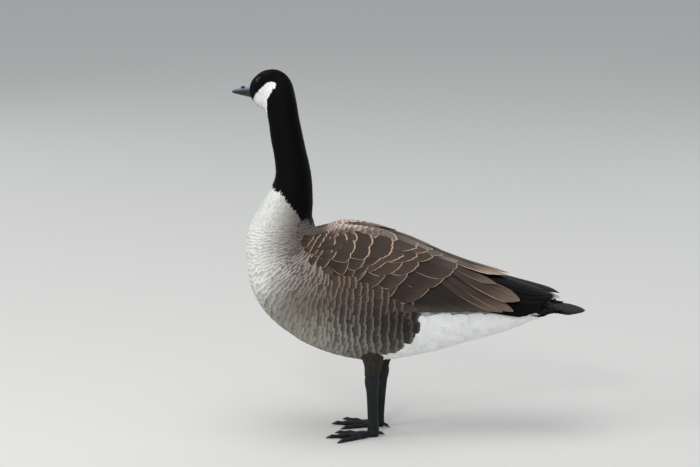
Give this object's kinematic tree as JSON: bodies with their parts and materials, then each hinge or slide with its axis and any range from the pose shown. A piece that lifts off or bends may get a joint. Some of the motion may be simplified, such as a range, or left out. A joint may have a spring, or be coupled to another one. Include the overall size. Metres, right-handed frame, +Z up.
{
  "type": "canada goose",
  "caption": "Life-size still model of a standing large goose: black neck and head turned aside, pale cheek patch, folded brown wings, short black tail and webbed feet.",
  "frame": {"origin": "centre of the model's box on the floor, between bill tip and tail tip", "axes": "+Z up, -X the way the body faces, -Y the bird's left side"},
  "size_m": [0.6496, 0.2282, 0.6767],
  "materials": {
    "black_plumage": "soft near-black feathers with a faint blue sheen",
    "grey_brown_plumage": "soft contour feathers: white breast, barred grey-brown flanks, white vent",
    "brown_wing_feathers": "matt brown vanes with pale tan fringes",
    "black_flight_feathers": "glossy black-brown vanes",
    "dark_brown_plumage": "short dark brown feathers",
    "bill": "smooth slate horn with a satin sheen",
    "eye": "wet, nearly black",
    "leg_skin": "scaly dark slate skin",
    "claw": "dark horn"
  },
  "bodies": {
    "root": {"head": "black_plumage", "neck": "black_plumage", "torso": "grey_brown_plumage", "tail": "black_flight_feathers", "bill_upper": "bill", "bill_lower": "bill", "eye_left": "eye", "wing_left": "brown_wing_feathers", "thigh_left": "dark_brown_plumage", "shank_left": "leg_skin", "foot_left": "leg_skin", "claw_left_1": "claw", "claw_left_2": "claw", "claw_left_3": "claw", "claw_left_4": "claw", "eye_right": "eye", "wing_right": "brown_wing_feathers", "thigh_right": "dark_brown_plumage", "shank_right": "leg_skin", "foot_right": "leg_skin", "claw_right_1": "claw", "claw_right_2": "claw", "claw_right_3": "claw", "claw_right_4": "claw"}
  },
  "joints": []
}
